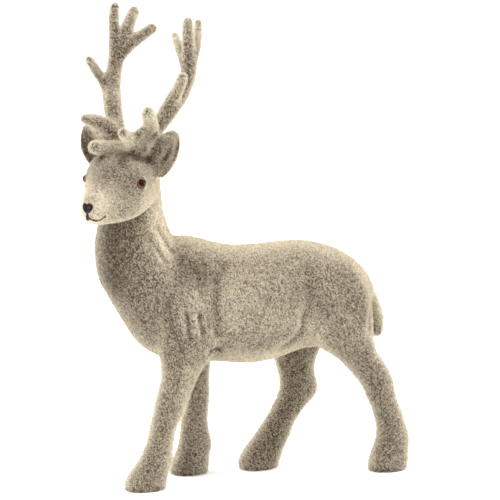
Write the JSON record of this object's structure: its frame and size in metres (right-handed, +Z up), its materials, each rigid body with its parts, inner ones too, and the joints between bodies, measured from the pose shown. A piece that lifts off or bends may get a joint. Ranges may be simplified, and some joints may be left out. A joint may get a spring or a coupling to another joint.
{
  "type": "reindeer figurine",
  "caption": "Standing flocked reindeer figurine in mid-stride, head turned to its left, with branched antlers, cupped ears and small glossy inset eyes.",
  "frame": {"origin": "on the floor, under the middle of the figure's box", "axes": "+X is the animal's own left, -Y is the way its body faces and +Z is up from the soles to the antlers"},
  "size_m": [0.0796, 0.2012, 0.275],
  "materials": {
    "flock": "matte short-fibre flock over moulded plastic",
    "eye": "glossy"
  },
  "bodies": {
    "root": {"reindeer": "flock", "eye_left": "eye", "eye_right": "eye"}
  },
  "joints": []
}
